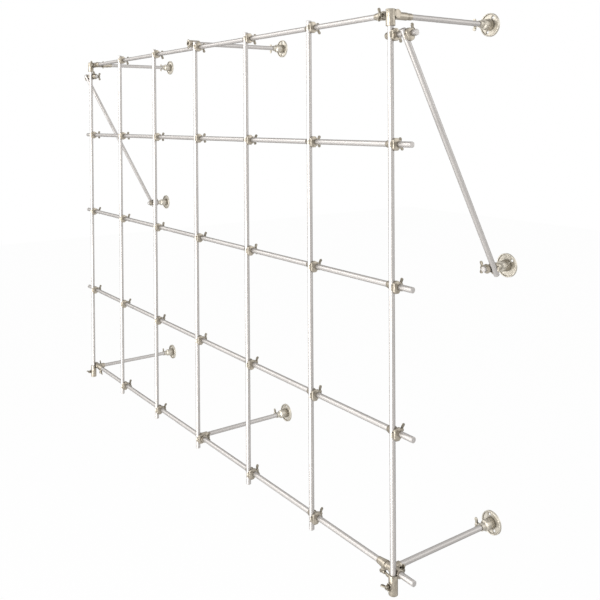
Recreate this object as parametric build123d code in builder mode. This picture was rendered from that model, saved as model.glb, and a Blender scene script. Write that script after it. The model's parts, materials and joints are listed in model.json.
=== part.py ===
"""Lab lattice frame: half-inch rods clamped at their crossings, held off a wall on round feet."""

import os
from math import asin, atan2, cos, hypot, sin

from build123d import *

# Origin: wall face of the lower left foot, on its axis. +X along the rails, +Y into the wall, +Z up.

# Rods
rod_dia = 12.7
rod_chamfer = 1.0
rod_touch = 0.2              # left between two rods that cross
upright_length = 1219.0
stand_off_length = 304.8
middle_stand_off_length = 330.2
brace_length = 609.6
head_stub_length = 88.9
foot_stub_length = 76.2

# Lattice
upright_count = 7
bay_width = 284.0
upper_pitches = [272.0, 298.0, 308.0]   # rail to rail, from the top one down to the last but one
upright_rise = 16.0          # inner uprights, above the top rail's axis
upright_tail = 28.0          # inner uprights, below the bottom rail's axis
end_upright_rise = 6.0       # the two outer uprights, in their sleeves
rail_left_overhang = 75.0
rail_right_overhang = 50.0
rail_in_corner = 6.0         # rail end past the outer upright's axis, inside a corner casting
stand_off_gap = 2.0          # between a stand-off's end and the rail that it meets

# Castings
clearance = 0.15             # round a rod, and round a screw
nose_length = 15.0
nose_tip_radius = 7.4
nose_radius = 10.8
nose_start = -10.0           # wide end of the nose, from the upright's axis
saddle_radius = 8.6
body_start = 3.0
body_length = 9.0
body_front = 4.0             # in front of the upright's axis
body_back = 14.0             # behind it
body_height = 26.4
body_corner = 4.5
body_chamfer = 1.4
collar_length = 5.0          # round end of the casting, behind the body
collar_radius = 10.4
jaw_radius = 10.4
jaw_height = 11.0
jaw_root_angle = 30.0
jaw_tip_angle = -60.0
window_radius = 4.2          # where the two rods meet inside a casting
boss_radius = 6.6
boss_height = 12.0           # from the axis of the rod that the screw presses on
boss_inset = 5.0             # from the upright's axis towards the nose

# Thumb screws
screw_radius = 3.0
screw_hub_radius = 4.5
screw_hub_length = 7.0
screw_grip = 2.0             # bare shank between boss and hub
wing_thickness = 2.6
wing_lobe_radius = 4.2
wing_span = 29.0
wing_reach = 6.4             # lobe centres, above the hub's root
wing_turn_step = 7.0         # the wings stand a little differently from screw to screw

# Corner castings, as seen at the right: the rail runs off to -X
sleeve_radius = 10.0
sleeve_cap = 3.5
upper_sleeve_drop = 26.0
lower_sleeve_drop = 42.0
barrel_radius = 9.6
barrel_cap = 3.0
barrel_end = -20.0
waist_radius = 8.0
waist_end = -33.0
bell_radius = 10.4
bell_tip_radius = 7.4
bell_end = -59.0
rail_screw_x = -26.5
bell_screw_x = -42.0
socket_radius = 8.6
upper_socket_end = 62.0
upper_socket_collar_radius = 7.6
upper_socket_collar_end = 76.0
lower_socket_end = 36.0
socket_screw_y = 28.0
sleeve_screw_drop = 21.0
corner_boss_height = 12.5
stand_off_inset = 18.0       # corner stand-offs, inwards from the outer uprights

# Middle stand-offs, left of the middle upright
upper_middle_inset = 22.0
lower_middle_inset = 12.0
eye_radius = 9.8
eye_front = -12.0
eye_back = 25.0
middle_socket_end = 37.0
lower_middle_collar = 14.0
lower_middle_screw_x = 8.0   # this screw stands on the other side of the upright

# Braces
brace_offset = 42.0          # brace axis, outwards from the outer uprights
brace_head_drop = 44.0       # head stub's axis, below the top rail
brace_head_rise = 16.0       # brace end above its crossing with the head stub
brace_tail = 18.0            # brace end past its crossing with the foot stub
brace_foot_stand = 61.4      # foot clamp's axis, from the wall
brace_nose_length = 7.0
head_stub_inner_end = 24.0   # head stub's inner end, inwards from the outer upright

# Wall feet
foot_radius = 27.5
foot_thickness = 3.2
rim_height = 5.6
rim_width = 3.0
hub_root_radius = 13.0
hub_end_radius = 12.0
hub_height = 27.0
neck_root_height = 29.5
neck_radius = 8.4
neck_height = 41.0
foot_bore_floor = 7.8
foot_screw_height = 34.5
foot_boss_radius = 5.0
foot_boss_height = 10.5
foot_hole_circle = 37.0
foot_hole_radius = 3.0
foot_hole_sink_radius = 4.6
foot_hole_angles = {          # from +X towards +Z
    "upper_left": 64.0,
    "upper_middle": 86.0,
    "upper_right": 64.0,
    "lower_left": 112.0,
    "lower_middle": 96.0,
    "lower_right": 112.0,
    "brace_left": 138.0,
    "brace_right": 42.0,
}

# Worked out from the sizes above
rod_radius = rod_dia / 2
bore_radius = rod_radius + clearance
screw_bore_radius = screw_radius + clearance
cross_gap = rod_dia + rod_touch
rod_on_wall = -foot_bore_floor - rod_touch
rail_y = rod_on_wall - stand_off_length - stand_off_gap - rod_radius
upright_y = rail_y - cross_gap
uprights = range(1, upright_count + 1)
upright_x = {n: (n - 1) * bay_width - stand_off_inset for n in uprights}
first_x, last_x = upright_x[1], upright_x[upright_count]
middle_x = upright_x[(upright_count + 1) // 2]
centre_x = (first_x + last_x) / 2
rows = range(1, len(upper_pitches) + 3)
top_row, bottom_row = rows[0], rows[-1]
bottom_z = 0.0
top_z = upright_length - upright_rise - upright_tail
rail_z = {n: top_z - sum(upper_pitches[:n - 1]) for n in rows[:-1]}
rail_z[bottom_row] = bottom_z
far = 200.0                  # longer than any casting, for cuts that go right through
standing = (Align.CENTER, Align.CENTER, Align.MIN)
front, back, up, down, right, left = (0, -1, 0), (0, 1, 0), (0, 0, 1), (0, 0, -1), (1, 0, 0), (-1, 0, 0)


def rod(start, length):
    """A rod with chamfered ends, from a plane along its normal."""
    with BuildPart() as made:
        with BuildSketch(start):
            Circle(rod_radius)
        extrude(amount=length)
        chamfer(made.edges().filter_by(GeomType.CIRCLE), rod_chamfer)
    return made.part


def save(part, name):
    """Label a finished piece and write its file."""
    part.label = name
    export_step(part, f"parts/{name}.step")


def bore(axis_plane, radius, length):
    """Cut a round hole from a plane along its normal, in the part being built."""
    with Locations(axis_plane):
        Cylinder(radius, length, align=standing, mode=Mode.SUBTRACT)


def boss(axis_plane, radius, height):
    """Raise a round boss from a plane along its normal, in the part being built."""
    with Locations(axis_plane):
        Cylinder(radius, height, align=standing)


def hook_casting(lean, nose, collar=collar_length, screw_x=-boss_inset):
    """One hooked clamp: bored along X for the rod behind, hooked round the rod in front."""
    hooked = Plane(origin=(0, 0, 0), x_dir=(cos(lean), 0, -sin(lean)), z_dir=(sin(lean), 0, cos(lean)))
    with BuildPart() as made:
        # Nose cone and the saddle behind the front rod
        with BuildSketch(Plane.XZ.offset(-cross_gap)):
            with BuildLine():
                Polyline(
                    (nose_start - nose, 0),
                    (nose_start - nose, nose_tip_radius),
                    (nose_start, nose_radius),
                    (nose_start, saddle_radius),
                    (body_start, saddle_radius),
                    (body_start, 0),
                    close=True,
                )
            make_face()
        revolve(axis=Axis((0, cross_gap, 0), (1, 0, 0)))
        # Tall faceted body in front, round end and screw boss behind
        with BuildSketch(Plane.YZ.offset(body_start)) as face:
            with Locations(((body_back - body_front) / 2, 0)):
                Rectangle(body_back + body_front, body_height)
            chamfer(face.vertices(), body_corner)
        extrude(amount=body_length)
        chamfer(made.faces().sort_by(Axis.X)[-1].edges(), body_chamfer)
        boss(Plane(origin=(body_start - clearance, cross_gap, 0), z_dir=right), collar_radius, collar)
        boss(Plane(origin=(screw_x, cross_gap, 0), z_dir=back), boss_radius, boss_height)
        # Hook, from the body round the outer side of the front rod
        with BuildSketch(hooked.offset(-jaw_height / 2)):
            with BuildLine():
                sweep_angle = jaw_tip_angle - jaw_root_angle
                outer = CenterArc((0, 0), jaw_radius, jaw_root_angle, sweep_angle)
                inner = CenterArc((0, 0), rod_radius, jaw_root_angle, sweep_angle)
                Line(outer @ 0, inner @ 0)
                Line(outer @ 1, inner @ 1)
            make_face()
        extrude(amount=jaw_height)
        # Bores for both rods, the window between them and the screw hole
        bore(Plane(origin=(-far / 2, cross_gap, 0), z_dir=right), bore_radius, far)
        bore(hooked.offset(-far / 2), bore_radius, far)
        bore(Plane(origin=(0, 0, 0), z_dir=back), window_radius, cross_gap)
        bore(Plane(origin=(screw_x, cross_gap, 0), z_dir=back), screw_bore_radius, far)
    return made.part


def thumb_screw(seat_height):
    """A wing screw standing on a rod's surface, through a boss of the given height above the rod's axis."""
    root = seat_height - rod_radius + screw_grip
    lobe = wing_span / 2 - wing_lobe_radius
    with BuildPart() as made:
        boss(Plane.XY.offset(clearance), screw_radius, root - clearance)
        boss(Plane.XY.offset(root), screw_hub_radius, screw_hub_length)
        with BuildSketch(Plane.XZ.offset(-wing_thickness / 2)):
            with BuildLine():
                Polyline(
                    (0, root + 1),
                    (lobe, root + wing_reach - wing_lobe_radius),
                    (lobe, root + wing_reach + wing_lobe_radius),
                    (0, root + screw_hub_length - 1),
                    (-lobe, root + wing_reach + wing_lobe_radius),
                    (-lobe, root + wing_reach - wing_lobe_radius),
                    close=True,
                )
            make_face()
            with Locations((-lobe, root + wing_reach), (lobe, root + wing_reach)):
                Circle(wing_lobe_radius)
        extrude(amount=wing_thickness)
    return made.part


def on_rod(point, out, wing, turn=0):
    """Where a thumb screw stands: on the rod through a point, its wings turned about its axis."""
    seat = Plane(origin=point, x_dir=wing, z_dir=out).offset(rod_radius)
    return Location(seat) * Location((0, 0, 0), (0, 0, turn))


def group(part, places):
    """Copies of a solid at several places."""
    with BuildPart() as made:
        with Locations(*places):
            add(part)
    return made.part


def corner_casting(sleeve_bottom, sleeve_top, upright_top, rail_end, socket_end, screws):
    """Right-hand corner: sleeve for the upright, barrel for the rail, socket for the stand-off."""
    barrel_outer = rod_radius + barrel_cap
    with BuildPart() as made:
        boss(Plane.XY.offset(sleeve_bottom), sleeve_radius, sleeve_top - sleeve_bottom)
        with BuildSketch(Plane.XZ.offset(-cross_gap)):
            with BuildLine():
                Polyline(
                    (barrel_outer, 0),
                    (barrel_outer, barrel_radius),
                    (barrel_end, barrel_radius),
                    (barrel_end, waist_radius),
                    (waist_end, waist_radius),
                    (waist_end, bell_radius),
                    (bell_end, bell_tip_radius),
                    (bell_end, 0),
                    close=True,
                )
            make_face()
        revolve(axis=Axis((0, cross_gap, 0), (1, 0, 0)))
        socket_root = Plane(origin=(-stand_off_inset, cross_gap, 0), z_dir=back)
        boss(socket_root, socket_radius, socket_end - cross_gap)
        if socket_end == upper_socket_end:
            collar_root = Plane(origin=(-stand_off_inset, socket_end, 0), z_dir=back)
            boss(collar_root, upper_socket_collar_radius, upper_socket_collar_end - socket_end)
        for point, out in screws:
            boss(Plane(origin=point, z_dir=out), boss_radius, corner_boss_height)
        bore(Plane(origin=(0, 0, upright_top), z_dir=down), bore_radius, far)
        bore(Plane(origin=(rail_end, cross_gap, 0), z_dir=left), bore_radius, far)
        stand_off_start = cross_gap + rod_radius + stand_off_gap - rod_touch
        bore(Plane(origin=(-stand_off_inset, stand_off_start, 0), z_dir=back), bore_radius, far)
        for point, out in screws:
            bore(Plane(origin=point, z_dir=out), screw_bore_radius, far)
    return made.part


def wall_foot(hole_angle):
    """A round foot on its flat back: rolled rim, tapered hub, neck for the rod and two screw holes."""
    with BuildPart() as made:
        with BuildSketch(Plane.XZ):
            with BuildLine():
                rim_shoulder = rim_height - rim_width / 2
                Polyline((0, neck_height), (0, 0), (foot_radius, 0), (foot_radius, rim_shoulder))
                ThreePointArc(
                    (foot_radius, rim_shoulder),
                    (foot_radius - rim_width / 2, rim_height),
                    (foot_radius - rim_width, rim_shoulder),
                )
                Polyline(
                    (foot_radius - rim_width, rim_shoulder),
                    (foot_radius - rim_width, foot_thickness),
                    (hub_root_radius, foot_thickness),
                    (hub_end_radius, hub_height),
                    (neck_radius, neck_root_height),
                    (neck_radius, neck_height),
                    (0, neck_height),
                )
            make_face()
        revolve(axis=Axis.Z)
        boss(Plane(origin=(0, 0, foot_screw_height), z_dir=left), foot_boss_radius, foot_boss_height)
        bore(Plane.XY.offset(foot_bore_floor), bore_radius, far)
        bore(Plane(origin=(0, 0, foot_screw_height), z_dir=left), screw_bore_radius, far)
        with Locations(Plane.XY.offset(foot_thickness)):
            with PolarLocations(foot_hole_circle / 2, 2, start_angle=hole_angle):
                CounterSinkHole(foot_hole_radius, foot_hole_sink_radius, depth=foot_thickness)
    return made.part


os.makedirs("parts", exist_ok=True)

# Uprights, in front of the rails
for n in uprights:
    rise = end_upright_rise if upright_x[n] in (first_x, last_x) else upright_rise
    lower_end = Plane(origin=(upright_x[n], upright_y, top_z + rise - upright_length), z_dir=up)
    save(rod(lower_end, upright_length), f"upright_{n}")

# Rails; the top one ends in both corner castings and the bottom one in the left
for n in rows:
    left = first_x - (rail_in_corner if n in (top_row, bottom_row) else rail_left_overhang)
    right = last_x + (rail_in_corner if n == top_row else rail_right_overhang)
    save(rod(Plane(origin=(left, rail_y, rail_z[n]), z_dir=right), right - left), f"rail_{n}")

# Stand-off rods between the wall feet and the lattice
stand_offs = {
    "upper_left": (first_x + stand_off_inset, top_z, stand_off_length),
    "upper_middle": (middle_x - upper_middle_inset, top_z + cross_gap, middle_stand_off_length),
    "upper_right": (last_x - stand_off_inset, top_z, stand_off_length),
    "lower_left": (first_x + stand_off_inset, bottom_z, stand_off_length),
    "lower_middle": (middle_x - lower_middle_inset, bottom_z, stand_off_length),
    "lower_right": (last_x - stand_off_inset, bottom_z, stand_off_length),
}
for name, (x, z, length) in stand_offs.items():
    save(rod(Plane(origin=(x, rod_on_wall, z), z_dir=front), length), f"stand_off_{name}")

# Braces outside the lattice, each between a stub on an outer upright and a stub in a wall foot
between_clamps = brace_length - brace_head_rise - brace_tail
brace_run = -brace_foot_stand - rail_y
lean = atan2(cross_gap, between_clamps) + asin(brace_run / hypot(cross_gap, between_clamps))
head_z = top_z - brace_head_drop
head_cross_y = rail_y - cross_gap * cos(lean)
head_cross_z = head_z - cross_gap * sin(lean)
brace_top_y = head_cross_y - brace_head_rise * sin(lean)
brace_top_z = head_cross_z + brace_head_rise * cos(lean)
foot_cross_y = brace_top_y + (brace_length - brace_tail) * sin(lean)
foot_cross_z = brace_top_z - (brace_length - brace_tail) * cos(lean)
foot_stub_x = brace_offset - cross_gap
mid_plane = Plane.YZ.offset(centre_x)

with BuildPart() as right_brace:
    add(rod(Plane(origin=(last_x + brace_offset, brace_top_y, brace_top_z), z_dir=(0, sin(lean), -cos(lean))),
            brace_length))
with BuildPart() as right_head_stub:
    add(rod(Plane(origin=(last_x - head_stub_inner_end, rail_y, head_z), z_dir=right), head_stub_length))
with BuildPart() as right_foot_stub:
    add(rod(Plane(origin=(last_x + foot_stub_x, rod_on_wall, foot_cross_z), z_dir=front), foot_stub_length))
brace_rods = {"brace": right_brace, "brace_head_stub": right_head_stub, "brace_foot_stub": right_foot_stub}
for name, made in brace_rods.items():
    save(made.part, f"{name}_right")
    save(mirror(made.part, about=mid_plane), f"{name}_left")

# Hooked clamps and their thumb screws at the plain crossings, one set for each rail
hook_clamp = hook_casting(0, nose_length)
hook_screw = thumb_screw(boss_height)
corner_x = (first_x, last_x)
for n in rows:
    places = []
    screw_places = []
    for k in uprights:
        special = corner_x + (middle_x,) if n in (top_row, bottom_row) else ()
        if upright_x[k] in special:
            continue
        places.append(Location((upright_x[k], upright_y, rail_z[n])))
        turn = wing_turn_step * ((3 * k + 2 * n) % 5 - 2)
        screw_places.append(on_rod((upright_x[k] - boss_inset, rail_y, rail_z[n]), back, up, turn))
    save(group(hook_clamp, places), f"hook_clamps_row_{n}")
    save(group(hook_screw, screw_places), f"thumb_screws_row_{n}")

# Corner castings
upper_screws = [
    ((rail_screw_x, cross_gap, 0), front),
    ((-stand_off_inset, socket_screw_y + boss_radius, 0), left),
]
lower_screws = [
    ((bell_screw_x, cross_gap, 0), down),
    ((-stand_off_inset, socket_screw_y, 0), right),
    ((0, 0, -sleeve_screw_drop), front),
]
upper_sleeve_top = end_upright_rise + rod_touch + sleeve_cap
lower_sleeve_top = 0
closed = rail_in_corner + rod_touch
upper_corner = corner_casting(
    -upper_sleeve_drop, upper_sleeve_top, end_upright_rise + rod_touch, closed, upper_socket_end, upper_screws
)
lower_corner = corner_casting(
    -lower_sleeve_drop, lower_sleeve_top, far / 2, closed, lower_socket_end, lower_screws
)
open_corner = corner_casting(
    -lower_sleeve_drop, lower_sleeve_top, far / 2, far / 2, lower_socket_end, lower_screws
)
upper_place = Location((last_x, upright_y, top_z))
lower_place = Location((last_x, upright_y, bottom_z))
save(group(upper_corner, [upper_place]), "corner_casting_upper_right")
save(mirror(group(upper_corner, [upper_place]), about=mid_plane), "corner_casting_upper_left")
save(group(open_corner, [lower_place]), "corner_casting_lower_right")
save(mirror(group(lower_corner, [lower_place]), about=mid_plane), "corner_casting_lower_left")

# Screws of the corner castings
corner_screw = thumb_screw(corner_boss_height)
corner_screw_places = {
    "upper": (upper_place, upper_screws),
    "lower": (lower_place, lower_screws),
}
right_screw_places = [
    place * on_rod(point, out, right if out == down or point[2] < 0 else up)
    for place, screws in corner_screw_places.values()
    for point, out in screws
]
with BuildPart() as corner_screws:
    with Locations(*right_screw_places):
        add(corner_screw)
    mirror(about=mid_plane)
save(corner_screws.part, "thumb_screws_corners")

# Middle castings: a hooked clamp that also takes a stand-off rod
with BuildPart() as upper_middle:
    add(hook_casting(0, nose_length))
    eye = Plane(origin=(-upper_middle_inset, eye_front, cross_gap), z_dir=back)
    boss(eye, eye_radius, eye_back - eye_front)
    boss(Plane(origin=(-upper_middle_inset, 0, cross_gap), z_dir=left), boss_radius, boss_height)
    bore(Plane(origin=(-upper_middle_inset, 0, cross_gap), z_dir=left), screw_bore_radius, far)
    bore(Plane(origin=(-far / 2, cross_gap, 0), z_dir=right), bore_radius, far)
    bore(Plane(origin=(-upper_middle_inset, -far / 2, cross_gap), z_dir=back), bore_radius, far)
with BuildPart() as lower_middle:
    add(hook_casting(0, nose_length, lower_middle_collar, lower_middle_screw_x))
    socket_root = Plane(origin=(-lower_middle_inset, cross_gap, 0), z_dir=back)
    boss(socket_root, socket_radius, middle_socket_end - cross_gap)
    bore(Plane(origin=(-far / 2, cross_gap, 0), z_dir=right), bore_radius, far)
    stand_off_start = cross_gap + rod_radius + stand_off_gap - rod_touch
    bore(Plane(origin=(-lower_middle_inset, stand_off_start, 0), z_dir=back), bore_radius, far)
save(group(upper_middle.part, [Location((middle_x, upright_y, top_z))]), "middle_casting_upper")
save(group(lower_middle.part, [Location((middle_x, upright_y, bottom_z))]), "middle_casting_lower")
with BuildPart() as middle_screws:
    with Locations(
        on_rod((middle_x - boss_inset, rail_y, top_z), back, up),
        on_rod((middle_x + lower_middle_screw_x, rail_y, bottom_z), back, up),
        on_rod((middle_x - upper_middle_inset, upright_y, top_z + cross_gap), left, up),
    ):
        add(hook_screw)
save(middle_screws.part, "thumb_screws_middle")

# Clamps of the braces: on the upright, on the brace's head and on its foot
brace_up = (0, -sin(lean), cos(lean))
brace_back = (0, cos(lean), sin(lean))
head_clamp = hook_casting(0, brace_nose_length)
foot_clamp = hook_casting(-lean, brace_nose_length)
brace_x = last_x + brace_offset
head_cross = Plane(origin=(brace_x, head_cross_y, head_cross_z), x_dir=right, z_dir=brace_up)
foot_cross = Plane(origin=(brace_x, foot_cross_y, foot_cross_z), x_dir=back, z_dir=up)
clamps = {
    "brace_upright_clamp": group(hook_clamp, [Location((last_x, upright_y, head_z))]),
    "brace_head_clamp": group(head_clamp, [Location(head_cross)]),
    "brace_foot_clamp": group(foot_clamp, [Location(foot_cross)]),
}
for name, clamp in clamps.items():
    save(clamp, f"{name}_right")
    save(mirror(clamp, about=mid_plane), f"{name}_left")
with BuildPart() as brace_screws:
    with Locations(
        on_rod((last_x - boss_inset, rail_y, head_z), back, up),
        on_rod((brace_x - boss_inset, rail_y, head_z), brace_back, brace_up),
        on_rod((last_x + foot_stub_x, foot_cross_y - boss_inset, foot_cross_z), left, up),
    ):
        add(hook_screw)
    mirror(about=mid_plane)
save(brace_screws.part, "thumb_screws_braces")

# Wall feet and their thumb screws
foot_places = {name: (x, z) for name, (x, z, length) in stand_offs.items()}
foot_places["brace_left"] = (first_x - foot_stub_x, foot_cross_z)
foot_places["brace_right"] = (last_x + foot_stub_x, foot_cross_z)
foot_screw_places = []
for name, (x, z) in foot_places.items():
    on_wall = Plane(origin=(x, 0, z), x_dir=right, z_dir=front)
    save(group(wall_foot(foot_hole_angles[name]), [Location(on_wall)]), f"wall_foot_{name}")
    foot_screw_places.append(on_rod((x, -foot_screw_height, z), left, up))
save(group(thumb_screw(foot_boss_height), foot_screw_places), "thumb_screws_wall_feet")
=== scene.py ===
import json
from math import asin, atan2, cos, hypot, radians, sin

import bmesh
import bpy
from mathutils import Matrix, Vector


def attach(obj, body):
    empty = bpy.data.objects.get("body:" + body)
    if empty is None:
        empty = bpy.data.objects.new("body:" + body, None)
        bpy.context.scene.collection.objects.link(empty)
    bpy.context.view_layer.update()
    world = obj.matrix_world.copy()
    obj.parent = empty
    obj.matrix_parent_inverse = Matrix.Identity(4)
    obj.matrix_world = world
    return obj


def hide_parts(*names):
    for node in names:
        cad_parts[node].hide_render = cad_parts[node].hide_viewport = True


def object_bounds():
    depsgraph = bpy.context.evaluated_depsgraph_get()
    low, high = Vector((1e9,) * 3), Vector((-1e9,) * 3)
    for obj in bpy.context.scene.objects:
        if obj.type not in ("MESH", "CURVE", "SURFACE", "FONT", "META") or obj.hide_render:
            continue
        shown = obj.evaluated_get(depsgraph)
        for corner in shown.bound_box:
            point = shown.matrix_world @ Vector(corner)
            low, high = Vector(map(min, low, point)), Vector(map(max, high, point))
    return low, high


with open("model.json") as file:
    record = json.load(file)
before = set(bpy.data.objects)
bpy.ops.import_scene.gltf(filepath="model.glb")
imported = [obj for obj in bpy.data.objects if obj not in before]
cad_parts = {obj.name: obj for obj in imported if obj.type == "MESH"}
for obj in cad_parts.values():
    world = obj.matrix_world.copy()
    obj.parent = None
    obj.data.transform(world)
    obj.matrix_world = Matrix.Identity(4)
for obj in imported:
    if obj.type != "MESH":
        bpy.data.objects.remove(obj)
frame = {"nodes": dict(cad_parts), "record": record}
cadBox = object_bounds()
mm = 0.001
print("frame loaded:", len(frame["nodes"]), "nodes")

# Camera, in the frame's millimetres, fitted to the photograph
camera = {
    "place": (2869.1, -1429.5, 953.4),
    "azimuth": 54.97,        # degrees it stands round from straight in front
    "downTilt": 0.73,
    "roll": -0.37,
    "lens": 46.04,
    "sensorWidth": 36,
    "shift": (0.0227, -0.2824),
    "farEnd": 100,
}


def addCamera(values):
    turn = radians(values["azimuth"])
    tilt = radians(values["downTilt"])
    roll = radians(values["roll"])
    forward = Vector((-sin(turn) * cos(tilt), cos(turn) * cos(tilt), -sin(tilt)))
    level = Vector((cos(turn), sin(turn), 0))
    above = level.cross(forward)
    right = level * cos(roll) + above * sin(roll)
    overhead = above * cos(roll) - level * sin(roll)
    data = bpy.data.cameras.new("camera")
    data.lens = values["lens"]
    data.sensor_width = values["sensorWidth"]
    data.shift_x, data.shift_y = values["shift"]
    data.clip_end = values["farEnd"]
    holder = bpy.data.objects.new("camera", data)
    bpy.context.collection.objects.link(holder)
    turned = Matrix((right, overhead, -forward)).transposed().to_4x4()
    holder.matrix_world = Matrix.Translation(Vector(values["place"]) * mm) @ turned
    bpy.context.scene.camera = holder


addCamera(camera)


# Shader maths: a wrapped socket that adds Math nodes for the operators
class Wave:
    def __init__(self, tree, socket):
        self.tree = tree
        self.socket = socket

    def combine(self, operation, first, second):
        node = self.tree.nodes.new("ShaderNodeMath")
        node.operation = operation
        for slot, value in zip(node.inputs, (first, second)):
            if isinstance(value, Wave):
                self.tree.links.new(value.socket, slot)
            else:
                slot.default_value = value
        return Wave(self.tree, node.outputs[0])

    def __add__(self, other):
        return self.combine("ADD", self, other)

    def __sub__(self, other):
        return self.combine("SUBTRACT", self, other)

    def __mul__(self, other):
        return self.combine("MULTIPLY", self, other)

    def __radd__(self, other):
        return self.combine("ADD", other, self)

    def __rsub__(self, other):
        return self.combine("SUBTRACT", other, self)

    def __rmul__(self, other):
        return self.combine("MULTIPLY", other, self)


# The node tree of a material or of the world
class Nodes:
    def __init__(self, owner):
        owner.use_nodes = True
        self.tree = owner.node_tree

    def node(self, kind, settings=None, sockets=None):
        made = self.tree.nodes.new(kind)
        for key, value in (settings or {}).items():
            setattr(made, key, value)
        self.fill(made, sockets or {})
        return made

    def fill(self, node, sockets):
        for key, value in sockets.items():
            source = value.socket if isinstance(value, Wave) else value
            if isinstance(source, bpy.types.NodeSocket):
                self.tree.links.new(source, node.inputs[key])
            else:
                node.inputs[key].default_value = source

    def wave(self, socket):
        return Wave(self.tree, socket)

    def mixed(self, factor, first, second):
        sockets = {0: factor, 6: first, 7: second}
        return self.node("ShaderNodeMix", {"data_type": "RGBA"}, sockets).outputs[2]

    def noise(self, coords, scale, detail, roughness=0.5):
        sockets = {"Vector": coords, "Scale": scale, "Detail": detail, "Roughness": roughness}
        return self.node("ShaderNodeTexNoise", None, sockets).outputs["Fac"]

    # Plain white for the rays that show a background, and the lit shader for the others
    def showWhite(self, whiteKind, lit, share, output):
        white = self.node(whiteKind, None, {"Color": (1, 1, 1, 1), "Strength": 1.0})
        rays = self.node("ShaderNodeLightPath").outputs
        seenBy = [self.wave(rays[f"Is {kind} Ray"]) for kind in ("Camera", "Glossy", "Transmission")]
        seen = (seenBy[0] + seenBy[1] + seenBy[2]) * share
        joined = self.node("ShaderNodeMixShader", None, {0: seen, 1: lit, 2: white.outputs[0]})
        self.fill(self.tree.nodes[output], {"Surface": joined.outputs[0]})


rodFinish = {
    "bright": (0.56, 0.535, 0.515, 1),
    "dull": (0.435, 0.415, 0.398, 1),
    "metallic": 0.75,
    "edgeTint": (0.1, 0.1, 0.1, 1),
    "roughness": 0.365,
    "roughnessSwing": 0.05,
    "cloudScale": 14.0,
    "cloudDetail": 4.0,
    "cloudShare": 0.9,
    "grainScale": 900.0,
    "grainDetail": 2.0,
    "grainShare": 0.25,
    "grainDepth": 0.000015,
    "dullStart": 0.1,
}
castFinish = {
    "clampLight": (0.55, 0.495, 0.415, 1),
    "clampDark": (0.175, 0.153, 0.115, 1),
    "clampRoughness": 0.17,
    "screwLight": (0.37, 0.335, 0.275, 1),
    "screwDark": (0.12, 0.105, 0.08, 1),
    "screwRoughness": 0.22,
    "footLight": (0.64, 0.60, 0.525, 1),
    "footDark": (0.34, 0.31, 0.255, 1),
    "footRoughness": 0.24,
    "roughnessSwing": 0.2,
    "metallic": 0.8,
    "edgeTint": (0.3, 0.3, 0.3, 1),
    "worn": (0.62, 0.58, 0.50, 1),
    "wornFrom": 0.53,
    "wornGain": 9.0,
    "wornMost": 0.55,
    # painted shade: a near-black colour mixed in by ambient occlusion in recesses and gaps between parts
    "paintedShade": (0.03, 0.025, 0.016, 1),
    "paintedShadeReach": 0.007,
    "paintedShadeSamples": 8,
    "paintedShadeFrom": 0.25,
    "paintedShadeGain": 1.7,
    "blotchScale": 90.0,
    "blotchDetail": 5.0,
    "blotchRoughness": 0.62,
    "blotchShare": 1.7,
    "skinScale": 1400.0,
    "skinDetail": 3.0,
    "skinShare": 0.2,
    "skinDepth": 0.00001,
    "darkStart": 0.5,
}


def coated(finish, values, colour, roughness, relief, depth):
    bump = finish.node("ShaderNodeBump", None, {"Height": relief, "Distance": depth})
    finish.fill(finish.tree.nodes["Principled BSDF"], {
        "Base Color": colour,
        "Metallic": values["metallic"],
        "Specular Tint": values["edgeTint"],
        "Roughness": finish.wave(relief) * values["roughnessSwing"] + roughness,
        "Normal": bump.outputs["Normal"],
    })


def makeRodFinish(values):
    material = bpy.data.materials.new("drawn rod")
    finish = Nodes(material)
    coords = finish.node("ShaderNodeTexCoord").outputs["Object"]
    cloud = finish.noise(coords, values["cloudScale"], values["cloudDetail"])
    grain = finish.noise(coords, values["grainScale"], values["grainDetail"])
    clouded = finish.wave(cloud) * values["cloudShare"] + finish.wave(grain) * values["grainShare"]
    colour = finish.mixed(clouded - values["dullStart"], values["bright"], values["dull"])
    coated(finish, values, colour, values["roughness"], grain, values["grainDepth"])
    return material


def makeCastFinish(kind, values):
    material = bpy.data.materials.new(f"{kind} casting")
    finish = Nodes(material)
    coords = finish.node("ShaderNodeTexCoord").outputs["Object"]
    blotch = finish.noise(coords, values["blotchScale"], values["blotchDetail"], values["blotchRoughness"])
    skin = finish.noise(coords, values["skinScale"], values["skinDetail"])
    edge = finish.node("ShaderNodeNewGeometry").outputs["Pointiness"]
    # Painted shade: ambient occlusion darkens the colour towards near-black in recesses, creases and
    # between parts
    samples, reach = {"samples": values["paintedShadeSamples"]}, {"Distance": values["paintedShadeReach"]}
    paintedShadeAo = finish.node("ShaderNodeAmbientOcclusion", samples, reach).outputs["AO"]
    shade = finish.wave(blotch) * values["blotchShare"] + finish.wave(skin) * values["skinShare"]
    base = finish.mixed(shade - values["darkStart"], values[kind + "Light"], values[kind + "Dark"])
    worn = (finish.wave(edge) - values["wornFrom"]) * values["wornGain"]
    capped = finish.node("ShaderNodeClamp", None, {"Value": worn, "Min": 0.0, "Max": values["wornMost"]})
    rubbed = finish.mixed(capped.outputs[0], base, values["worn"])
    paintedShadeRamp = (finish.wave(paintedShadeAo) - values["paintedShadeFrom"]) * values["paintedShadeGain"]
    paintedShadeFactor = finish.node("ShaderNodeClamp", None, {"Value": paintedShadeRamp})
    colour = finish.mixed(paintedShadeFactor.outputs[0], values["paintedShade"], rubbed)
    coated(finish, values, colour, values[kind + "Roughness"], skin, values["skinDepth"])
    return material


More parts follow.
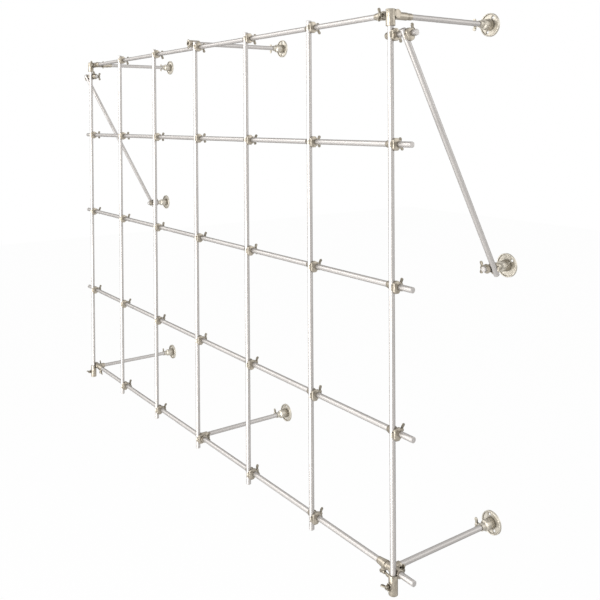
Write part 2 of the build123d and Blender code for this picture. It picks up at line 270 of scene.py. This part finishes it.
slotMetal = {
    "rod_metal": makeRodFinish(rodFinish),
    "clamp_casting": makeCastFinish("clamp", castFinish),
    "screw_casting": makeCastFinish("screw", castFinish),
    "foot_casting": makeCastFinish("foot", castFinish),
}
nodeSlot = {row["node"]: row["material_slot"] for row in frame["record"]["subparts"]}
for name, node in frame["nodes"].items():
    for slot in node.material_slots:
        slot.material = slotMetal[nodeSlot[name]]
print("materials made")

# Lattice, in the frame's millimetres
lattice = {
    "uprightX": [-18 + 284 * k for k in range(7)],
    "railZ": {1: 1175, 2: 903, 3: 605, 4: 297, 5: 0},
    "uprightY": -334.05,
    "railY": -321.15,
    "crossGap": 12.9,
    "rodRadius": 6.35,
    "boreRadius": 6.5,
    "standOffInset": 18,
}
middleUpright, endUpright, topRow, lowRow = 3, 6, 1, 5
railY, uprightY = lattice["railY"], lattice["uprightY"]
gap, bore = lattice["crossGap"], lattice["boreRadius"]
middleX, endX = lattice["uprightX"][middleUpright], lattice["uprightX"][endUpright]
topZ, lowZ = lattice["railZ"][topRow], lattice["railZ"][lowRow]
mirrored = Matrix.Translation((2 * middleX, 0, 0)) @ Matrix.Diagonal((-1, 1, 1, 1))
east, west, rear, front, up, down = (1, 0, 0), (-1, 0, 0), (0, 1, 0), (0, -1, 0), (0, 0, 1), (0, 0, -1)

# How finely the pieces are rounded
rounding = {
    "cornerSteps": 3,
    "cornerShare": 0.45,     # most of an edge that one corner may take
    "latheSteps": 40,
    "bendSteps": 12,
    "rimSegments": 3,
    "rimAngle": 40,
    "smoothAngle": 32,
    "weld": 0.001,
}


# A matrix that lays a piece's Z along one direction and its X across it
def placed(origin, along, across=None):
    z = Vector(along).normalized()
    x = Vector(across or (up if abs(z.z) < 0.9 else east)).normalized()
    return Matrix.Translation(origin) @ Matrix((x, z.cross(x), z)).transposed().to_4x4()


def softened(points, reach):
    corners = [Vector(point) for point in points]
    path = [corners[0]]
    steps, share = rounding["cornerSteps"], rounding["cornerShare"]
    for before, here, after in zip(corners, corners[1:], corners[2:]):
        inward = min(reach, share * (before - here).length, share * (after - here).length)
        start = here + (before - here).normalized() * inward
        end = here + (after - here).normalized() * inward
        for k in range(steps + 1):
            t = k / steps
            path.append(start * (1 - t) ** 2 + here * (2 * t * (1 - t)) + end * t ** 2)
    return path + [corners[-1]]


# A turned piece, from a profile of heights and radii
def lathe(profile, reach=0.8):
    part = bmesh.new()
    line = [part.verts.new((radius, 0, height)) for height, radius in softened(profile, reach)]
    for pair in zip(line, line[1:]):
        part.edges.new(pair)
    if profile[0][1] and profile[-1][1]:
        part.edges.new((line[-1], line[0]))    # the wall of its bore
    bmesh.ops.spin(
        part, geom=part.verts[:] + part.edges[:], cent=(0, 0, 0), axis=(0, 0, 1), angle=radians(360),
        steps=rounding["latheSteps"], use_merge=True,
    )
    bmesh.ops.remove_doubles(part, verts=part.verts[:], dist=rounding["weld"])
    return part


def tube(start, end, radius, reach):
    return lathe([(start, bore), (start, radius), (end, radius), (end, bore)], reach)


def bevelRims(part, width):
    bmesh.ops.recalc_face_normals(part, faces=part.faces[:])
    sharp = radians(rounding["rimAngle"])
    rims = [edge for edge in part.edges if edge.is_manifold and edge.calc_face_angle() > sharp]
    bmesh.ops.bevel(
        part, geom=rims, offset=width, segments=rounding["rimSegments"], profile=0.5, affect="EDGES",
        material=-1, clamp_overlap=True,
    )
    return part


def prism(outline, depth, width):
    part = bmesh.new()
    face = part.faces.new([part.verts.new((x, y, 0)) for x, y in outline])
    made = bmesh.ops.extrude_face_region(part, geom=[face])["geom"]
    risen = [piece for piece in made if isinstance(piece, bmesh.types.BMVert)]
    bmesh.ops.translate(part, verts=risen, vec=(0, 0, depth))
    return bevelRims(part, width)


# Part of a ring about Z, between two angles in degrees
def band(inner, outer, height, start, end, width):
    part = bmesh.new()
    half = height / 2
    ring = [(inner, -half), (outer, -half), (outer, half), (inner, half)]
    turn = Matrix.Rotation(radians(start), 4, "Z")
    face = part.faces.new([part.verts.new(turn @ Vector((radius, 0, z))) for radius, z in ring])
    bmesh.ops.spin(
        part, geom=[face], cent=(0, 0, 0), axis=(0, 0, 1), angle=radians(end - start),
        steps=rounding["bendSteps"], use_merge=False,
    )
    return bevelRims(part, width)


def join(parts):
    shape = bmesh.new()
    for part, place in parts:
        part.transform(place)
        held = bpy.data.meshes.new("held")
        part.to_mesh(held)
        part.free()
        shape.from_mesh(held)
        bpy.data.meshes.remove(held)
    mesh = bpy.data.meshes.new("template")
    bmesh.ops.recalc_face_normals(shape, faces=shape.faces[:])
    shape.to_mesh(mesh)
    shape.free()
    return mesh


def addPiece(name, node, copies, slotName):
    shape = bmesh.new()
    for template, place in copies:
        copy = template.copy()
        copy.transform(Matrix.Scale(mm, 4) @ place)
        if place.determinant() < 0:
            copy.flip_normals()
        shape.from_mesh(copy)
        bpy.data.meshes.remove(copy)
    mesh = bpy.data.meshes.new(name)
    shape.to_mesh(mesh)
    shape.free()
    mesh.shade_smooth()
    mesh.set_sharp_from_angle(angle=radians(rounding["smoothAngle"]))
    mesh.materials.append(slotMetal[slotName])
    piece = bpy.data.objects.new(name, mesh)
    bpy.context.collection.objects.link(piece)
    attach(piece, "root")
    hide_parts(node)


# The same casting at both ends of the lattice
def addPair(name, node, template, place):
    for side, turned in (("right", place), ("left", mirrored @ place)):
        addPiece(f"{name}_{side}", f"{node}_{side}", [(template, turned)], "clamp_casting")


def bothEnds(template, seats):
    return [(template, turned) for seat in seats for turned in (seat, mirrored @ seat)]


def atCrossing(k, row):
    return Matrix.Translation((lattice["uprightX"][k], uprightY, lattice["railZ"][row]))


# A screw's seat on a rod, with the wings along one direction or turned away from it by degrees
def onRod(point, out, wing, turn=0):
    seat = Vector(point) + Vector(out).normalized() * lattice["rodRadius"]
    return placed(seat, out, wing) @ Matrix.Rotation(radians(turn), 4, "Z")


# A hooked clamp as it stands at a crossing: the rail runs along X behind the upright
clampShape = {
    "noseStart": -10,
    "noseLength": 15,
    "noseRadius": 10.8,
    "noseTipRadius": 7.4,
    "noseLip": 1.5,
    "noseEdge": 0.7,
    "saddleRadius": 8.6,
    "saddleOverlap": 1,
    "bodyStart": 3,
    "bodyLength": 9,
    "bodyFront": -4,
    "bodyBack": 14,
    "bodyHalf": 13.2,
    "bodyCorner": 4.5,
    "castEdge": 1.1,
    "collarLength": 5,
    "collarRadius": 10.4,
    "jaw": {"inner": 6.35, "outer": 10.4, "height": 11, "start": -60, "end": 30, "width": 0.9},
    "screwX": -5,
    "bossRadius": 6.6,
    "bossHeight": 12,
    "bossBore": 3.1,
    "bossLip": 2,
}


def makeBoss(height):
    radius, hole = clampShape["bossRadius"], clampShape["bossBore"]
    lip = height - clampShape["bossLip"]
    return lathe([(0, hole), (0, radius), (height, radius), (height, hole), (lip, hole)])


def makeClamp(extra=(), **changes):
    values = {**clampShape, **changes}
    wide, body = values["noseStart"], values["bodyStart"]
    tip, saddleEnd = wide - values["noseLength"], body + values["saddleOverlap"]
    low, high, half, cut = values["bodyFront"], values["bodyBack"], values["bodyHalf"], values["bodyCorner"]
    outline = [
        (half - cut, low), (half, low + cut), (half, high - cut), (half - cut, high),
        (cut - half, high), (-half, high - cut), (-half, low + cut), (cut - half, low),
    ]
    nose = [
        (tip, bore),
        (tip, values["noseTipRadius"]),
        (wide - values["noseLip"], values["noseRadius"]),
        (wide, values["noseRadius"]),
        (wide, values["saddleRadius"]),
        (saddleEnd, values["saddleRadius"]),
        (saddleEnd, bore),
    ]
    collar = tube(body, body + values["collarLength"], values["collarRadius"], values["castEdge"])
    alongRail = placed((0, gap, 0), east)
    return join([
        (lathe(nose, values["noseEdge"]), alongRail),
        (collar, alongRail),
        (prism(outline, values["bodyLength"], values["castEdge"]), placed((body, 0, 0), east, down)),
        (band(**values["jaw"]), Matrix()),
        (makeBoss(values["bossHeight"]), placed((values["screwX"], gap, 0), rear)),
        *extra,
    ])


# A thumb screw that stands along Z, its seat at the rod's surface
screwShape = {
    "shankRadius": 3,
    "tipGap": 0.15,
    "sink": 1,               # of the shank and the wings into the hub
    "grip": 2,
    "hubRadius": 4.5,
    "hubLength": 7,
    "hubEdge": 1.6,
    "wingThickness": 2.6,
    "wingEdge": 0.9,
    "waistHalf": 3,
    "heelHalf": 4,
    "lobeRadius": 4.2,
    "lobeSteps": 9,
    "span": 29,
    "reach": 6.4,
    "turnStep": 7,
}


def makeScrew(seatHeight):
    values = screwShape
    root = seatHeight - lattice["rodRadius"] + values["grip"]
    top, heel = root + values["hubLength"], root + values["sink"]
    shank, hub, lobe = values["shankRadius"], values["hubRadius"], values["lobeRadius"]
    x, y = values["span"] / 2 - lobe, root + values["reach"]
    angles = [radians(180 * k / values["lobeSteps"] - 90) for k in range(values["lobeSteps"] + 1)]
    eastLobe = [(x + lobe * cos(a), y + lobe * sin(a)) for a in angles]
    westLobe = [(-across, height) for across, height in reversed(eastLobe)]
    waist = [(values["waistHalf"], top), (-values["waistHalf"], top)]
    foot = [(-values["heelHalf"], heel), (values["heelHalf"], heel)]
    wings = prism(eastLobe + waist + westLobe + foot, values["wingThickness"], values["wingEdge"])
    return join([
        (lathe([(values["tipGap"], 0), (values["tipGap"], shank), (heel, shank), (heel, 0)]), Matrix()),
        (lathe([(root, 0), (root, hub), (top, hub), (top, 0)], values["hubEdge"]), Matrix()),
        (wings, placed((0, values["wingThickness"] / 2, 0), front, east)),
    ])


# The wings stand up to two steps to either side of upright, in a set order along the rows
def wingTurn(k, row):
    return screwShape["turnStep"] * ((3 * (k + 1) + 2 * row) % 5 - 2)


plainClamp, plainScrew = makeClamp(), makeScrew(clampShape["bossHeight"])
screwX = clampShape["screwX"]
for row, z in lattice["railZ"].items():
    castCrossings = (0, middleUpright, endUpright) if row in (topRow, lowRow) else ()
    crossings = [k for k in range(endUpright + 1) if k not in castCrossings]
    clamps = [(plainClamp, atCrossing(k, row)) for k in crossings]
    addPiece(f"castHookClamps{row}", f"hook_clamps_row_{row}", clamps, "clamp_casting")
    seats = []
    for k in crossings:
        point = (lattice["uprightX"][k] + screwX, railY, z)
        seats.append((plainScrew, onRod(point, rear, up, wingTurn(k, row))))
    addPiece(f"wingScrewsRow{row}", f"thumb_screws_row_{row}", seats, "screw_casting")
print("clamps and screws of the rows made")

# Corner castings as they stand at the right-hand end: each screw's place, direction and wings
cornerShape = {
    "sleeveRadius": 10,
    "sleeveEdge": 1.2,
    "castEdge": 0.9,
    "barrel": [(9.35, 9.6), (-20, 9.6), (-20, 8), (-33, 8), (-33, 10.4), (-59, 7.4), (-59, 6.5)],
    "lidThickness": 3,
    "socketRadius": 8.6,
    "bossHeight": 12.5,
    "upper": {
        "sleeve": (-26, 9.7),
        "socket": [(49.1, 8.6), (49.1, 7.6), (63.1, 7.6), (63.1, 6.5)],
        "screws": [((-26.5, 12.9, 0), front, up), ((-18, 34.6, 0), west, up)],
    },
    "lower": {
        "sleeve": (-42, 0),
        "socket": [(23.1, 8.6), (23.1, 6.5)],
        "screws": [((-42, 12.9, 0), down, east), ((-18, 28, 0), east, up), ((0, 0, -21), front, east)],
    },
}


# The upper casting's sleeve and barrel end in a lid, and the lower casting's are open
def makeCorner(kind):
    values = cornerShape
    bottom, top = values[kind]["sleeve"]
    end = values["barrel"][0][0]
    lid = 0 if kind == "upper" else bore
    sleeve = [(bottom, bore), (bottom, values["sleeveRadius"]), (top, values["sleeveRadius"]), (top, lid)]
    barrel = [(end, lid)] + values["barrel"]
    if kind == "upper":
        under, within = top - values["lidThickness"], end - values["lidThickness"]
        sleeve += [(under, 0), (under, bore)]
        barrel += [(within, bore), (within, 0)]
    socket = [(0, bore), (0, values["socketRadius"])] + values[kind]["socket"]
    bosses = [
        (makeBoss(values["bossHeight"]), placed(point, out)) for point, out, wing in values[kind]["screws"]
    ]
    return join([
        (lathe(sleeve, values["sleeveEdge"]), Matrix()),
        (lathe(barrel, values["castEdge"]), placed((0, gap, 0), east)),
        (lathe(socket, values["castEdge"]), placed((-lattice["standOffInset"], gap, 0), rear)),
        *bosses,
    ])


cornerPlace = {"upper": atCrossing(endUpright, topRow), "lower": atCrossing(endUpright, lowRow)}
cornerSeats = []
for kind, place in cornerPlace.items():
    addPair(f"castCorner_{kind}", f"corner_casting_{kind}", makeCorner(kind), place)
    cornerSeats += [place @ onRod(*screw) for screw in cornerShape[kind]["screws"]]
cornerScrews = bothEnds(makeScrew(cornerShape["bossHeight"]), cornerSeats)
addPiece("wingScrewsCorners", "thumb_screws_corners", cornerScrews, "screw_casting")

# Middle castings: a clamp with an eye above for its stand-off, or with a socket below
middleShape = {
    "castEdge": 1.1,
    "eyeLength": 37,
    "eyeRadius": 9.8,
    "eyeX": -22,
    "eyeFront": -12,
    "socketLength": 24.1,
    "socketRadius": 8.6,
    "socketX": -12,
    "socketCollar": 14,
    "socketScrewX": 8,
}
eyeX, lowScrewX = middleShape["eyeX"], middleShape["socketScrewX"]
eye = tube(0, middleShape["eyeLength"], middleShape["eyeRadius"], middleShape["castEdge"])
upperMiddle = makeClamp([
    (eye, placed((eyeX, middleShape["eyeFront"], gap), rear)),
    (makeBoss(clampShape["bossHeight"]), placed((eyeX, 0, gap), west)),
])
socket = tube(0, middleShape["socketLength"], middleShape["socketRadius"], middleShape["castEdge"])
lowerMiddle = makeClamp(
    [(socket, placed((middleShape["socketX"], gap, 0), rear))],
    collarLength=middleShape["socketCollar"], screwX=lowScrewX,
)
upperMiddles = [(upperMiddle, atCrossing(middleUpright, topRow))]
addPiece("castMiddleUpper", "middle_casting_upper", upperMiddles, "clamp_casting")
lowerMiddles = [(lowerMiddle, atCrossing(middleUpright, lowRow))]
addPiece("castMiddleLower", "middle_casting_lower", lowerMiddles, "clamp_casting")
middleSeats = [
    onRod((middleX + screwX, railY, topZ), rear, up),
    onRod((middleX + lowScrewX, railY, lowZ), rear, up),
    onRod((middleX + eyeX, uprightY, topZ + gap), west, up),
]
middleScrews = [(plainScrew, seat) for seat in middleSeats]
addPiece("wingScrewsMiddle", "thumb_screws_middle", middleScrews, "screw_casting")

# Braces: their lean follows from their length and the foot clamps' stand from the wall
brace = {
    "length": 609.6,
    "headRise": 16,
    "tail": 18,
    "footStand": 61.4,
    "offset": 42,            # of the brace from the end upright
    "headDrop": 44,
    "noseLength": 7,
}
span = brace["length"] - brace["headRise"] - brace["tail"]
lean = atan2(gap, span) + asin((-brace["footStand"] - railY) / hypot(gap, span))
headZ = topZ - brace["headDrop"]
braceX = endX + brace["offset"]
braceUp, braceRear = (0, -sin(lean), cos(lean)), (0, cos(lean), sin(lean))
headCross = Vector((braceX, railY - gap * cos(lean), headZ - gap * sin(lean)))
footCross = headCross + Vector((0, sin(lean), -cos(lean))) * span
braceClamp = makeClamp(noseLength=brace["noseLength"])
braceClamps = {
    "upright_clamp": (plainClamp, Matrix.Translation((endX, uprightY, headZ))),
    "head_clamp": (braceClamp, placed(headCross, braceUp, east)),
    "foot_clamp": (braceClamp, placed(footCross, up, rear)),
}
for name, (template, place) in braceClamps.items():
    addPair(f"castBrace_{name}", f"brace_{name}", template, place)
braceScrews = bothEnds(plainScrew, [
    onRod((endX + screwX, railY, headZ), rear, up),
    onRod((braceX + screwX, railY, headZ), braceRear, braceUp),
    onRod((braceX - gap, footCross.y + screwX, footCross.z), west, up),
])
addPiece("wingScrewsBraces", "thumb_screws_braces", braceScrews, "screw_casting")
print("castings and brace clamps made")

# Floor, world and lamps, in metres and watts
studio = {
    "floorDrop": 1.8,
    "floorSize": 16.0,
    "floorCentre": (0.8, 0),
    "floorColour": (0.94, 0.94, 0.93, 1),
    "floorRoughness": 0.9,
    "floorWhite": 0.97,      # share of plain white, the rest keeps the shadow
    "worldStrength": 0.56,
    "lamps": {
        "front": {"place": (1.3, -4.2, 0.1), "target": (1.3, -0.2, 0.3), "power": 240.0, "size": 3.6},
        "side": {"place": (-2.6, -3.0, 2.6), "target": (0.85, -0.2, 0.6), "power": 60.0, "size": 3.0},
        "rear": {"place": (4.0, 2.6, 2.0), "target": (1.2, -0.2, 0.6), "power": 26.0, "size": 3.0},
    },
}


def addFloor(values):
    shape = bmesh.new()
    bmesh.ops.create_grid(shape, x_segments=1, y_segments=1, size=values["floorSize"])
    low = cadBox[0][2] - values["floorDrop"]
    bmesh.ops.translate(shape, vec=(*values["floorCentre"], low), verts=shape.verts)
    mesh = bpy.data.meshes.new("floor")
    shape.to_mesh(mesh)
    shape.free()
    floor = bpy.data.objects.new("floor", mesh)
    bpy.context.collection.objects.link(floor)
    material = bpy.data.materials.new("pale floor")
    paint = Nodes(material)
    shader = paint.tree.nodes["Principled BSDF"]
    paint.fill(shader, {"Base Color": values["floorColour"], "Roughness": values["floorRoughness"]})
    paint.showWhite("ShaderNodeEmission", shader.outputs[0], values["floorWhite"], "Material Output")
    mesh.materials.append(material)


def addWorld(values):
    world = bpy.data.worlds.new("studio")
    bpy.context.scene.world = world
    sky = Nodes(world)
    back = sky.tree.nodes["Background"]
    sky.fill(back, {"Color": (1, 1, 1, 1), "Strength": values["worldStrength"]})
    sky.showWhite("ShaderNodeBackground", back.outputs[0], 1.0, "World Output")


def addLamp(name, values):
    data = bpy.data.lights.new(name, "AREA")
    data.energy = values["power"]
    data.size = values["size"]
    lamp = bpy.data.objects.new(name, data)
    bpy.context.collection.objects.link(lamp)
    aim = Vector(values["target"]) - Vector(values["place"])
    turned = aim.to_track_quat("-Z", "Y").to_matrix().to_4x4()
    lamp.matrix_world = Matrix.Translation(values["place"]) @ turned


addFloor(studio)
addWorld(studio)
for name, lamp in studio["lamps"].items():
    addLamp(name, lamp)
bpy.context.scene.view_settings.view_transform = "Standard"
print("studio set")
